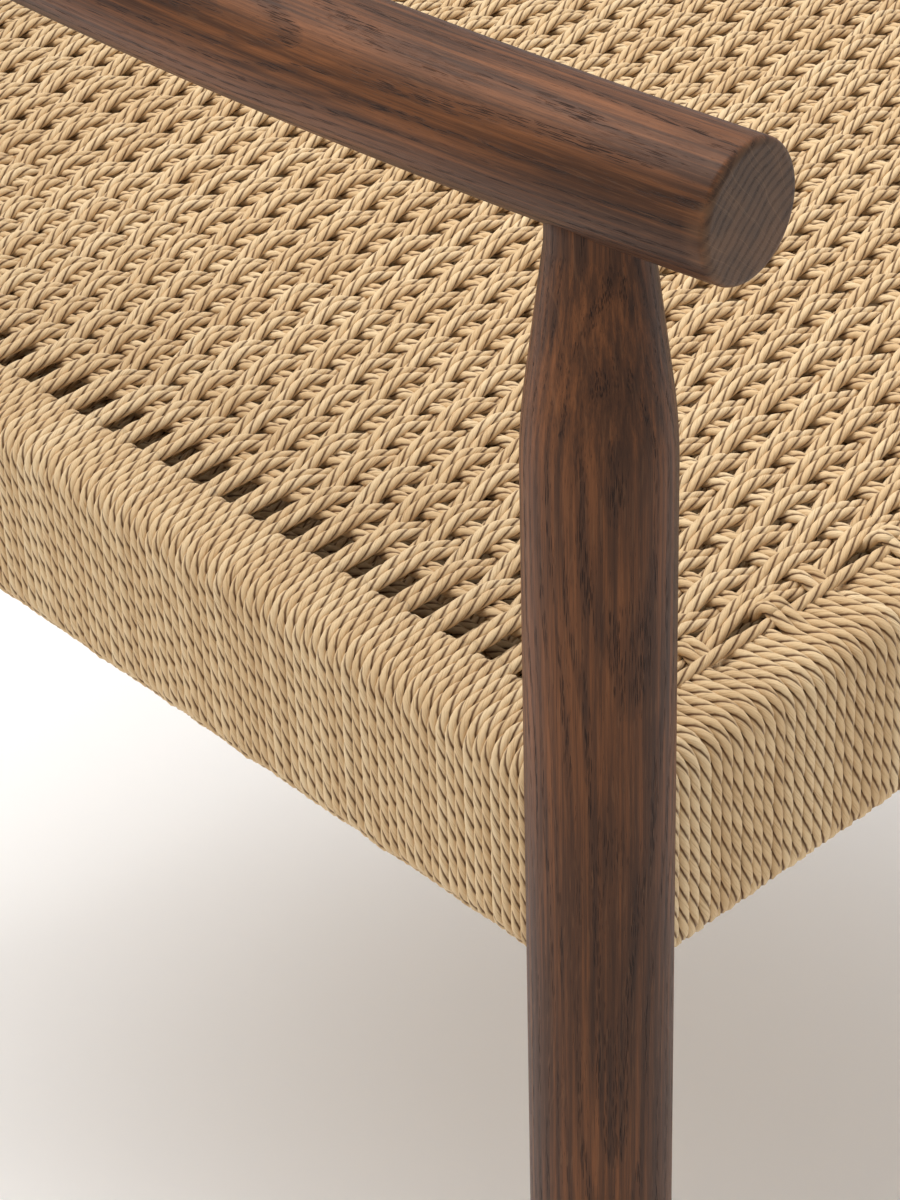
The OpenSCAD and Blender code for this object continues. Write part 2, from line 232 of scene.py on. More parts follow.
def oak(name, own_grain):
    """Smoked oak, oiled. Coordinates are millimetres, X along the grain."""
    n = Nodes(name)
    if own_grain:
        grain = n.attribute("grain")
        rim_wear_and_highlight = n.attribute("rim_wear_and_highlight", "Fac")
    else:
        grain = n.vec("SCALE", n.node("ShaderNodeTexCoord").outputs["Object"])
        grain.node.inputs["Scale"].default_value = 1000
        rim_wear_and_highlight = 0.0
    # Slow drift of the grain, then rings round a pith line that lies beside the piece and leans.
    drift = n.noise(n.vec("MULTIPLY", grain, (0.006, 0.028, 0.028)), 1.0, 2.0, 0.45, out=1)
    drift = n.vec("MULTIPLY", n.vec("SUBTRACT", drift, (0.5, 0.5, 0.5)), (0, 16, 16))
    wobble = n.noise(n.vec("MULTIPLY", grain, (0.03, 0.25, 0.25)), 1.0, 2.0, 0.5, out=1)
    wobble = n.vec("MULTIPLY", n.vec("SUBTRACT", wobble, (0.5, 0.5, 0.5)), (0, 0.7, 0.7))
    bent = n.vec("ADD", n.vec("ADD", grain, drift), wobble)
    parts = n.node("ShaderNodeSeparateXYZ", {0: bent})
    along, u, v = parts.outputs
    u = n.math("ADD", n.math("MULTIPLY_ADD", along, 0.035, u), 46.0)
    flat = n.node("ShaderNodeCombineXYZ", {0: 0.0, 1: u, 2: v}).outputs[0]
    radius = n.vec("LENGTH", flat, out="Value")
    rings = n.math("DIVIDE", radius, 2.6)
    age = n.math("FRACT", rings)
    early = n.step(n.math("ABSOLUTE", n.math("SUBTRACT", age, 0.22)), 0.05, 0.34, 1.0, 0.0)
    # Pores: dark dashes along the grain, crowded into the early wood.
    pore_at = n.vec("MULTIPLY", grain, (0.17, 4.0, 4.0))
    cells = n.node("ShaderNodeTexVoronoi", {"Vector": pore_at, "Scale": 1.0, "Randomness": 1.0})
    pore_near = cells.outputs["Distance"]
    pore_size = n.step(early, 0.0, 1.0, 0.14, 0.40)
    pores = n.step(n.math("SUBTRACT", pore_near, pore_size), -0.10, 0.06, 1.0, 0.0)
    pore_gate = n.step(n.noise(n.vec("MULTIPLY", grain, (0.02, 0.6, 0.6))), 0.40, 0.58)
    pores = n.math("MULTIPLY", pores, n.math("MULTIPLY_ADD", pore_gate, 0.75, 0.25))
    fibre = n.noise(n.vec("MULTIPLY", grain, (0.10, 5.0, 5.0)), 1.0, 3.0, 0.6)
    streak = n.noise(n.vec("MULTIPLY", grain, (0.012, 0.8, 0.8)), 1.0, 3.0, 0.6)
    patch = n.noise(n.vec("MULTIPLY", grain, (0.010, 0.045, 0.045)), 1.0, 2.0, 0.5)
    # Rays: thin lines that point at the pith, seen on the end grain and as faint flecks.
    turn = n.math("ARCTAN2", v, u)
    ray_at = n.node("ShaderNodeCombineXYZ", {
        0: n.math("MULTIPLY", along, 0.10), 1: n.math("MULTIPLY", turn, 150.0),
        2: n.math("MULTIPLY", radius, 0.05)}).outputs[0]
    rays = n.step(n.noise(ray_at, 1.0, 1.0, 0.4), 0.60, 0.70)
    tone = n.math("ADD", n.math("MULTIPLY", streak, 0.55), n.math("MULTIPLY", patch, 0.45))
    colour = n.ramp(n.step(tone, 0.30, 0.70), [
        (0.0, srgb(58, 36, 23)), (0.45, srgb(84, 52, 32)),
        (0.75, srgb(108, 66, 38)), (1.0, srgb(126, 78, 46))])
    colour = n.mix(n.math("MULTIPLY", early, 0.36), colour, (*srgb(50, 32, 23), 1))
    colour = n.mix(n.step(fibre, 0.42, 0.66, 0.0, 0.35), colour, (*srgb(46, 30, 22), 1))
    colour = n.mix(n.math("MULTIPLY", rays, 0.22), colour, (*srgb(122, 84, 56), 1))
    colour = n.mix(n.math("MULTIPLY", pores, 0.82), colour, (*srgb(28, 18, 14), 1))
    if own_grain:
        end = n.attribute("end_grain", "Fac")
        end_tone = n.ramp(n.math("ADD", n.math("MULTIPLY", early, 0.5), n.math("MULTIPLY", fibre, 0.5)), [
            (0.15, srgb(88, 66, 50)), (0.8, srgb(66, 48, 37))])
        end_tone = n.mix(n.math("MULTIPLY", rays, 0.30), end_tone, (*srgb(116, 90, 68), 1))
        end_tone = n.mix(n.math("MULTIPLY", pores, 0.5), end_tone, (*srgb(40, 28, 22), 1))
        colour = n.mix(end, colour, end_tone)
        # Lighter rim round the arm ends: partly real wear, partly a painted highlight.
        rub_and_highlight_patches = n.noise(n.vec("MULTIPLY", grain, (0.12, 0.12, 0.12)), 1.0, 1.0)
        rub_and_highlight = n.math("MULTIPLY", rim_wear_and_highlight, n.step(rub_and_highlight_patches, 0.35, 0.65))
        colour = n.mix(n.math("MULTIPLY", rub_and_highlight, 0.28), colour, (*srgb(150, 108, 76), 1))
    n.put(n.shader.inputs["Base Color"], colour)
    rough = n.math("MULTIPLY_ADD", fibre, 0.16, 0.36)
    n.put(n.shader.inputs["Roughness"], n.math("MULTIPLY_ADD", pores, 0.25, rough))
    n.shader.inputs["Specular IOR Level"].default_value = 0.16
    height = n.math("MULTIPLY_ADD", fibre, 0.035, n.math("MULTIPLY", pores, -0.11))
    height = n.math("MULTIPLY_ADD", early, -0.02, height)
    bump = n.node("ShaderNodeBump", {"Strength": 0.75, "Distance": 0.001, "Height": height})
    n.put(n.shader.inputs["Normal"], bump.outputs[0])
    return n.material


def paper_cord(name, own_lay):
    """Twisted kraft paper. Coordinates are millimetres, Z along the cord, untwisted."""
    n = Nodes(name)
    if own_lay:
        lay = n.attribute("lay")
        groove_shade = n.attribute("groove_shade", "Fac")
        tone = n.attribute("tone", "Fac")
    else:
        lay = n.vec("SCALE", n.node("ShaderNodeTexCoord").outputs["Object"])
        lay.node.inputs["Scale"].default_value = 1000
        groove_shade, tone = 0.3, 0.5
    fibre = n.noise(n.vec("MULTIPLY", lay, (5.2, 5.2, 0.22)), 1.0, 3.0, 0.62)
    crease = n.noise(n.vec("MULTIPLY", lay, (1.7, 1.7, 0.09)), 1.0, 2.0, 0.5)
    cloud = n.noise(n.vec("MULTIPLY", lay, (0.3, 0.3, 0.05)), 1.0, 2.0, 0.5)
    base = n.ramp(n.math("ADD", n.math("MULTIPLY", tone, 0.5), n.math("MULTIPLY", cloud, 0.5)), [
        (0.15, srgb(203, 170, 127)), (0.5, srgb(221, 191, 148)), (0.85, srgb(233, 208, 168))])
    base = n.mix(n.step(fibre, 0.50, 0.72, 0.0, 0.45), base, (*srgb(170, 130, 84), 1))
    base = n.mix(n.step(crease, 0.56, 0.70, 0.0, 0.40), base, (*srgb(158, 118, 74), 1))
    # painted shade: the valleys between the three strands are darkened in the colour
    base = n.mix(n.step(groove_shade, 0.15, 0.95, 0.0, 0.92), base, (*srgb(88, 52, 27), 1))
    n.put(n.shader.inputs["Base Color"], base)
    n.put(n.shader.inputs["Roughness"], n.math("MULTIPLY_ADD", fibre, 0.15, 0.72))
    n.shader.inputs["Specular IOR Level"].default_value = 0.12
    n.shader.inputs["Sheen Weight"].default_value = 0.08
    n.shader.inputs["Sheen Roughness"].default_value = 0.5
    height = n.math("MULTIPLY_ADD", crease, -0.20, n.math("MULTIPLY", fibre, -0.16))
    bump = n.node("ShaderNodeBump", {"Strength": 0.8, "Distance": 0.001, "Height": height})
    n.put(n.shader.inputs["Normal"], bump.outputs[0])
    return n.material


def plain_grain(name, low, high, roughness, metallic, scale, bump_mm):
    """Small hidden or hardware parts: two tones, a fine bump."""
    n = Nodes(name)
    at = n.vec("MULTIPLY", n.node("ShaderNodeTexCoord").outputs["Object"], (1000, 1000, 1000))
    mottled = n.noise(n.vec("MULTIPLY", at, scale), 1.0, 4.0, 0.6)
    n.put(n.shader.inputs["Base Color"], n.mix(n.step(mottled, 0.35, 0.65), (*low, 1), (*high, 1)))
    n.put(n.shader.inputs["Roughness"], n.math("MULTIPLY_ADD", mottled, 0.25, roughness))
    n.shader.inputs["Metallic"].default_value = metallic
    bump = n.node("ShaderNodeBump", {"Strength": 0.5, "Distance": 0.001,
                                     "Height": n.math("MULTIPLY", mottled, bump_mm)})
    n.put(n.shader.inputs["Normal"], bump.outputs[0])
    return n.material


oak_turned = oak("smoked_oak", True)
oak_rail = oak("smoked_oak_rail", False)
cord_laid = paper_cord("paper_cord", True)
beech = plain_grain("beech", srgb(176, 130, 86), srgb(205, 164, 118), 0.5, 0.0, (0.4, 3.0, 3.0), 0.05)
steel = plain_grain("nail_steel", (0.42, 0.42, 0.41), (0.62, 0.61, 0.59), 0.22, 1.0, (2.0, 2.0, 0.3), 0.03)
nylon = plain_grain("glide_nylon", (0.018, 0.016, 0.015), (0.032, 0.029, 0.027), 0.45, 0.0,
                    (1.5, 1.5, 1.5), 0.04)

for node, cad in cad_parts.items():
    if "rail_dowels" in node or node == "arm_dowels":
        finish = beech
    elif "nails" in node:
        finish = steel
    elif node == "leg_glides":
        finish = nylon
    elif node.endswith("_cords") or "wraps" in node:
        finish = cord_laid
    else:
        finish = oak_rail
    cad.data.materials.clear()
    cad.data.materials.append(finish)


# ---------------------------------------------------------------- turned legs, arms and slats

AROUND = 96


def wood_piece(name, centres, side, radii, grain_x, grain_board, rim_wear_and_highlight=None, end_grain=None):
    """Sweeps a circle along centres. grain_x is the distance along the grain at each centre, and
    grain_board shifts and turns the grain so that no two pieces show the same figure."""
    across, upward = frames_along(centres, np.array(side, float))

    def section(i):
        return round_section(max(radii[i], 0.02), AROUND)

    verts = sweep(centres, across, upward, section)
    grain = []
    shift, turn = grain_board
    c, s = math.cos(turn), math.sin(turn)
    for i in list(range(len(centres))) + [0, -1]:
        uv = section(i) if len(grain) < len(centres) else np.zeros((1, 2))
        flat = np.stack([np.full(len(uv), grain_x[i]), uv[:, 0] * c - uv[:, 1] * s,
                         uv[:, 0] * s + uv[:, 1] * c], -1)
        grain.append(flat + shift)
    grain = np.concatenate(grain)
    data = {"grain": grain}
    for key, values in (("rim_wear_and_highlight", rim_wear_and_highlight), ("end_grain", end_grain)):
        values = np.zeros(len(centres)) if values is None else np.asarray(values, float)
        per = [np.full(len(section(i)), values[i]) for i in range(len(centres))]
        data[key] = np.concatenate(per + [[values[0]], [values[-1]]])
    return new_piece(name, verts, grid_faces(len(centres), AROUND), [name], oak_turned, data)


def foot_rows():
    """(z, radius) from the glide up to the straight part of a leg."""
    rows = [(FOOT_Z, 0.0), (FOOT_Z, 6.0), (FOOT_Z, 12.3), (FOOT_Z + 0.02, 12.5)]
    for a in np.linspace(0, math.pi / 2, 6)[1:]:
        rows.append((FOOT_Z + 1.5 * (1 - math.cos(a)), 12.5 + 1.5 * math.sin(a)))
    for t in np.linspace(0, 1, 26)[1:]:
        # the taper runs out into the straight leg without an edge
        rows.append((FOOT_Z + 1.5 + (200 - FOOT_Z - 1.5) * t, 14 + 4 * (t - 0.5 * max(0.0, t - 0.85) ** 2)))
    return rows


def board(turn):
    """Where a piece was cut from the plank: a random shift in mm and a turn in radians."""
    return np.array([rng.uniform(-400, 400), rng.uniform(-3, 3), rng.uniform(-6, 6)]), turn


def front_leg(name, x, grain_board):
    rows = foot_rows()
    shoulder = EDGE_Z + 148.0
    rows += [(z, LEG_R) for z in np.linspace(206, shoulder, 48)]
    tilt, shoulder_r = math.radians(7.2), 160.0
    for a in np.linspace(0, tilt, 9)[1:]:
        rows.append((shoulder + shoulder_r * math.sin(a), LEG_R - shoulder_r * (1 - math.cos(a))))
    z0, r0 = rows[-1]
    for t in np.linspace(0, 1, 10)[1:]:
        rows.append((z0 + (ARM_Z - 14 - z0) * t, r0 + (12.0 - r0) * min(1.0, t * 1.12)))
    rows.append((ARM_Z - 6, 12.0))
    rows.append((ARM_Z - 6, 0.0))
    z, r = np.array(rows).T
    z = z + np.linspace(0, 1e-3, len(z))
    centres = np.stack([np.full(len(z), x), np.full(len(z), FRONT_Y), z], -1)
    return wood_piece(name, centres, (1, 0, 0), r, z, grain_board)


def rear_path():
    """Points up the middle of a rear leg, in the plane of its bend, with their lengths."""
    low = [(0.0, z) for z in np.linspace(206, BEND_Z, 30)]
    turns = np.linspace(0, RAKE, 14)[1:]
    bend = [(BEND_R * (1 - math.cos(a)), BEND_Z + BEND_R * math.sin(a)) for a in turns]
    y0, z0 = bend[-1]
    post = [(y0 + s * math.sin(RAKE), z0 + s * math.cos(RAKE)) for s in np.linspace(0, POST_L - 5, 32)[1:]]
    return low + bend + post


def rear_leg(name, x, grain_board):
    rows = foot_rows()
    points = [(0.0, z) for z, _ in rows] + rear_path()
    radii = [r for _, r in rows] + [LEG_R] * len(rear_path())
    y1, z1 = points[-1]
    for a in np.linspace(0, math.pi / 2, 7)[1:]:
        points.append((y1 + 5 * math.sin(a) * math.sin(RAKE), z1 + 5 * math.sin(a) * math.cos(RAKE)))
        radii.append(LEG_R - 5 * (1 - math.cos(a)))
    top = points[-1]
    for r in (12.9, 7.0, 0.0):
        points.append(top)
        radii.append(r)
    leaning = [math.sin(RAKE), math.cos(RAKE)]
    points = np.array(points) + np.linspace(0, 1e-3, len(points))[:, None] * leaning
    centres = np.stack([np.full(len(points), x), REAR_Y + points[:, 0], points[:, 1]], -1)
    length = np.concatenate([[0], np.cumsum(np.linalg.norm(np.diff(centres, axis=0), axis=1))])
    end = np.clip((length - (length[-1] - 0.02)) / 0.01, 0, 1)
    return wood_piece(name, centres, (1, 0, 0), radii, length, grain_board, end_grain=end)


def arm_points():
    """Centre line of the right arm from its front face to the middle of the back post."""
    bend_back = BEND_R * (1 - math.cos(RAKE))
    bend_top = BEND_Z + BEND_R * math.sin(RAKE)
    end_z = ARM_Z + SEAT_D * math.tan(ARM_RISE)
    run = SEAT_D + bend_back + (end_z - bend_top) * math.tan(RAKE)
    shift = LEG_X - REAR_X
    bent = run - math.sqrt(run ** 2 - 2 * ARM_BEND * (shift + ARM_TOE * run))
    head0 = -ARM_TOE - ARM_REACH / ARM_BEND
    head1 = -ARM_TOE + bent / ARM_BEND
    heads = np.linspace(head0, head1, 90)
    x = ARM_BEND * (math.cos(ARM_TOE) - np.cos(heads))
    y = ARM_BEND * (math.sin(ARM_TOE) + np.sin(heads))
    left = (run - y[-1]) / math.cos(head1)
    t = np.linspace(0, left - 4, 30)[1:]
    x = np.concatenate([x, x[-1] + t * math.sin(head1)])
    y = np.concatenate([y, y[-1] + t * math.cos(head1)])
    z = y * math.sin(ARM_RISE)
    return np.stack([x - LEG_X, FRONT_Y + y * math.cos(ARM_RISE), ARM_Z + z], -1)


def arm(name, mirror, grain_board):
    line = arm_points()
    length = np.concatenate([[0], np.cumsum(np.linalg.norm(np.diff(line, axis=0), axis=1))])
    edge = 2.0
    # rounded front edge: rings set close together, then the long body
    s = [0.0, 0.0, 0.0, 0.0] + [edge * (1 - math.cos(a)) for a in np.linspace(0, math.pi / 2, 9)[1:]]
    s += list(np.linspace(edge, length[-1], 150)[1:])
    s = np.array(s) + np.linspace(0, 1e-3, len(s))
    body = 16.4 + 0.006 * np.minimum(s, 230) - 0.0025 * np.maximum(s - 330, 0)
    r = body.copy()
    flat = 16.4 - edge
    r[:4] = [0.0, 7.0, flat - 0.2, flat - 0.02]
    r[4:12] = flat + edge * np.sin(np.linspace(0, math.pi / 2, 9)[1:])
    centres = np.stack([np.interp(s, length, line[:, i]) for i in range(3)], -1)
    centres[:, 0] *= mirror
    end = np.clip((1.2 - s) / 1.0, 0, 1)
    # a lighter band round the rim of the front end: partly wear, partly a painted highlight
    rim_wear_and_highlight = np.exp(-((s - 1.2) / 1.6) ** 2)
    return wood_piece(name, centres, (0, 0, 1), r, s, grain_board, rim_wear_and_highlight=rim_wear_and_highlight, end_grain=end)


def slat(name, start, height):
    half_w = REAR_X
    radius = (half_w ** 2 + SLAT_SAG ** 2) / (2 * SLAT_SAG)
    half = math.asin(half_w / radius)
    turns = np.linspace(-half, half, 90)
    corner = np.linspace(0, math.pi / 2, 9)
    ring = []
    for q, (sx, sy) in enumerate(((1, 1), (-1, 1), (-1, -1), (1, -1))):
        a = corner + q * math.pi / 2
        ring += [(sx * (SLAT_T / 2 - SLAT_EDGE) + SLAT_EDGE * math.cos(t),
                  sy * (height / 2 - SLAT_EDGE) + SLAT_EDGE * math.sin(t)) for t in a]
    ring = np.array(ring)
    up = np.array([0, math.sin(RAKE), math.cos(RAKE)])
    back = np.array([0, math.cos(RAKE), -math.sin(RAKE)])
    origin = np.array([0, REAR_Y + BEND_R * (1 - math.cos(RAKE)), BEND_Z + BEND_R * math.sin(RAKE)])
    mid = origin + up * (start + height / 2)
    verts, grain = [], []
    shift, _ = board(0)
    for t in turns:
        out = np.array([math.sin(t), 0, 0]) + back * math.cos(t)
        centre = mid + out * radius + back * (SLAT_SAG - radius)
        verts.append(centre + ring[:, :1] * out + ring[:, 1:] * up)
        grain.append(np.stack([np.full(len(ring), radius * t), ring[:, 0], ring[:, 1]], -1) + shift)
    verts += [verts[0].mean(0)[None], verts[-1].mean(0)[None]]
    grain += [grain[0].mean(0)[None], grain[-1].mean(0)[None]]
    verts = np.concatenate(verts)
    zeros = np.zeros(len(verts))
    return new_piece(name, verts, grid_faces(len(turns), len(ring)), [name], oak_turned,
                     {"grain": np.concatenate(grain), "rim_wear_and_highlight": zeros, "end_grain": zeros})


front_leg("front_leg_right", -LEG_X, board(2.2))
front_leg("front_leg_left", LEG_X, board(0.4))
rear_leg("rear_leg_right", -REAR_X, board(1.1))
rear_leg("rear_leg_left", REAR_X, board(2.9))
arm("arm_right", 1, board(0.7))
arm("arm_left", -1, board(2.0))
for slat_name, (slat_start, slat_height) in SLATS.items():
    slat(slat_name, slat_start, slat_height)


# ---------------------------------------------------------------- paper cord

LOBES = 3
PER_LOBE = 4
CORD_AROUND = LOBES * PER_LOBE
LOBE_RADIUS = np.array([1.0, 0.95, 0.68, 0.95])
# painted shade at each point of a lobe, full in the valley between strands
LOBE_GROOVE_SHADE = np.array([0.0, 0.2, 1.0, 0.2])
LOBE_ANGLE = np.array([0.0, 38.0, 60.0, 82.0])
RING_STEP = 2.0


def resample(points, step):
    """Even spacing along a polyline."""
    length = np.concatenate([[0], np.cumsum(np.linalg.norm(np.diff(points, axis=0), axis=1))])
    count = max(3, int(round(length[-1] / step)) + 1)
    at = np.linspace(0, length[-1], count)
    return np.stack([np.interp(at, length, points[:, i]) for i in range(3)], -1), at


def cords(strands, pieces):
    """Builds twisted three-strand cord along each (points, radius, side, label_of). label_of gives the
    piece that each stretch belongs to, as an index into pieces."""
    paths = [resample(p, RING_STEP) for p, _, _, _ in strands]
    most = max(len(p) for p, _ in paths)
    pts = np.zeros((len(paths), most, 3))
    for i, (p, _) in enumerate(paths):
        pts[i, :len(p)] = p
        pts[i, len(p):] = p[-1] + (p[-1] - p[-2]) * np.arange(1, most - len(p) + 1)[:, None]
    tangent = np.gradient(pts, axis=1)
    tangent /= np.linalg.norm(tangent, axis=2, keepdims=True)
    across = np.zeros_like(pts)
    now = np.array([s for _, _, s, _ in strands], float)
    for j in range(most):
        t = tangent[:, j]
        now = now - (now * t).sum(1, keepdims=True) * t
        now /= np.linalg.norm(now, axis=1, keepdims=True)
        across[:, j] = now
    upward = np.cross(tangent, across)
    angle = np.radians((LOBE_ANGLE[None, :] + np.arange(LOBES)[:, None] * 120).ravel())
    lobe = np.tile(LOBE_RADIUS, LOBES)
    groove_shade_ring = np.tile(LOBE_GROOVE_SHADE, LOBES)
    out = {name: [[], [], [], [], [], 0] for name, _ in pieces}
    for i, ((p, at), (_, radius, _, label_of)) in enumerate(zip(paths, strands)):
        m = len(p)
        phase = rng.uniform(0, 2 * math.pi)
        lay = LAY * rng.uniform(0.95, 1.06)
        knots = np.arange(0, at[-1] + 60, 30)
        slack = np.interp(at, knots, rng.normal(0, 0.12, int(at[-1] / 30) + 3)[:len(knots)])
        twist = phase - 2 * math.pi * at / lay + slack
        a = angle[None, :] + twist[:, None]
        knots = np.arange(0, at[-1] + 30, 15)
        thick = radius * np.interp(at, knots, rng.normal(1, 0.018, len(knots)))
        rho = thick[:, None] * lobe[None, :]
        verts = (p[:, None] + rho[..., None] * (np.cos(a)[..., None] * across[i, :m, None]
                                                + np.sin(a)[..., None] * upward[i, :m, None]))
        offset = rng.uniform(0, 4000)
        # paper strands are twisted the other way round, which slants their fibres
        own = angle[None, :] + at[:, None] * 0.05
        lay_xyz = np.stack([radius * np.cos(own) * np.ones_like(a), radius * np.sin(own) * np.ones_like(a),
                            np.broadcast_to(at[:, None], a.shape) + offset], -1)
        tone = rng.uniform(0.15, 0.85)
        label = label_of(p)
        k = np.arange(CORD_AROUND)
        nxt = (k + 1) % CORD_AROUND
        for which in np.unique(label[1:]):
            rings = np.where(label[1:] == which)[0]
            for run in np.split(rings, np.where(np.diff(rings) > 1)[0] + 1):
                first, last = run[0], run[-1] + 1
                rows = last - first + 1
                store = out[pieces[which][0]]
                base = store[5]
                store[0].append(verts[first:last + 1].reshape(-1, 3))
                store[1].append(lay_xyz[first:last + 1].reshape(-1, 3))
                store[2].append(np.tile(groove_shade_ring, rows))
                store[3].append(np.full(rows * CORD_AROUND, tone))
                q = np.arange(rows - 1)[:, None] * CORD_AROUND
                quads = np.stack([q + k, q + nxt, q + CORD_AROUND + nxt, q + CORD_AROUND + k], -1)
                faces = [quads.reshape(-1, 4) + base]
                # every stretch is closed at both ends, so that each piece is a solid of its own
                for end_row in (0, rows - 1):
                    ring = end_row * CORD_AROUND + k + base
                    hub = np.full(CORD_AROUND - 2, ring[0])
                    fan = np.stack([ring[1:-1], ring[2:], hub, hub], -1)
                    faces.append(fan if end_row else fan[:, [1, 0, 2, 3]])
                store[4].append(np.concatenate(faces))
                store[5] += rows * CORD_AROUND
    for name, nodes in pieces:
        v, lay_all, groove_shade, tone_all, faces, _ = out[name]
        new_piece(name, np.concatenate(v), np.concatenate(faces), nodes, cord_laid,
                  {"lay": np.concatenate(lay_all), "groove_shade": np.concatenate(groove_shade),
                   "tone": np.concatenate(tone_all)})


HALF_T = (WRAP_T - CORD_D) / 2
HALF_H = (EDGE_TOP - EDGE_Z - CORD_D) / 2
LOOP_R = WRAP_R - CORD_D / 2
MID_Z = (EDGE_Z + EDGE_TOP) / 2
TOP_Z = MID_Z + HALF_H
MID_Y = FRONT_Y + SEAT_D / 2


def arc(cu, cw, start, stop):
    a = np.radians(np.linspace(start, stop, 9))
    return [(cu + LOOP_R * math.cos(t), cw + LOOP_R * math.sin(t)) for t in a]


def round_rail(closed):
    """(u, w) round a rail, u pointing to the seat: from under it up the outside and over, or all round."""
    t, h, r = HALF_T, HALF_H, LOOP_R
    path = arc(-t + r, -h + r, -90, -180) + [(-t, 0.0)] + arc(-t + r, h - r, 180, 90)
    if closed:
        path = [(t, 0.0)] + arc(t - r, -h + r, 0, -90) + path + arc(t - r, h - r, 90, 0) + [(t, 0.0)]
    else:
        path = [(t - r, -h)] + path + [(0.0, h)]
    return np.array(path)


def rail_x(y, offset):
    """Distance from the middle plane of a line along the side rail, offset mm inside the leg axis."""
    return LEG_X - offset / math.cos(SIDE_TURN) - (y - FRONT_Y) * math.tan(SIDE_TURN)


def warp_shift(k):
    return (LEG_X - REAR_X) * max(0, FAN_N - min(k, WARP_N - 1 - k)) / FAN_N


def warp_x(k, y):
    x = (k - (WARP_N - 1) / 2) * WARP_PITCH
    return x - math.copysign(1, x) * warp_shift(k) * (y - FRONT_Y) / SEAT_D


WEFT_UP, WARP_UP = 2.9, 0.55
WEFT_R, WARP_R, FILL_R = 1.79, 1.9, 2.0
WARP_SPREAD, FILL_PITCH = 2.05, 4.1
LEG_GAP = LEG_R + 0.9
rows_y = FRONT_Y + WEFT_GAP + (SEAT_D - 2 * WEFT_GAP) * np.arange(WEFT_N) / (WEFT_N - 1)
ROWS = WEFT_N // 2
row_mid = rows_y.reshape(-1, 2).mean(1)


def from_rail(row):
    """0 for the first and last row, 1 for the next, and so on."""
    return min(row, ROWS - 1 - row)


def over_rail_z(y):
    """Height of a cord that lies on the cord of the front or rear rail."""
    d = min(y - FRONT_Y, REAR_Y - y)
    beyond = max(0.0, d - (WRAP_T - FRONT_FACE - WRAP_R))
    reach = WRAP_R + CORD_D / 2
    return MID_Z + HALF_H - LOOP_R + math.sqrt(max(0.0, reach ** 2 - beyond ** 2))


row_lift = rng.normal(0, 0.12, (ROWS, WARP_N))


def weft_z(row, k, y):
    sign = 1 if (row + k) % 2 else -1
    if from_rail(row) == 0:
        return over_rail_z(y) + (0.3 if sign > 0 else -0.5)
    base = WEAVE_Z + (0.6 if from_rail(row) == 1 else 0.0)
    return base + sign * WEFT_UP + row_lift[row, k]


def warp_z(row, k):
    sign = -1 if (row + k) % 2 else 1
    if from_rail(row) == 0:
        return over_rail_z(row_mid[row]) + (3.5 if sign > 0 else -3.9)
    return WEAVE_Z + (0.6 if from_rail(row) == 1 else 0.0) + sign * WARP_UP


def eased(x0, z0, x1, z1, count):
    t = np.linspace(0, 1, count, endpoint=False)
    return [(x0 + (x1 - x0) * s, z0 + (z1 - z0) * (1 - math.cos(math.pi * s)) / 2) for s in t]


rail_wave = rng.normal(0, 0.45, (4, 60))


def bulge(which, at):
    """Slow waviness of a wound rail, in millimetres."""
    return np.interp(at, np.linspace(-340, 340, 60), rail_wave[which])


def weft_half(side, y):
    """From under a side rail round it and on to it, as (x, y, z) rows. side is -1 or 1."""
    outer = rail_x(y, -SIDE_FACE)
    inner = rail_x(y, WRAP_T - SIDE_FACE)
    centre, stretch = (outer + inner) / 2, (outer - inner) / WRAP_T
    loop = round_rail(False)
    low_part = np.clip(-loop[:, 1] / HALF_H, 0, 1)
    z = MID_Z + loop[:, 1] - low_part * abs(bulge(0 if side > 0 else 1, y))
    return np.stack([side * (centre - loop[:, 0] * stretch), np.full(len(loop), y), z], -1)


def under_z(y):
    """Height of a cord under the seat: level with the side rails, and under the cord of the other two."""
    return min(EDGE_Z + CORD_D / 2, 2 * MID_Z - over_rail_z(y))


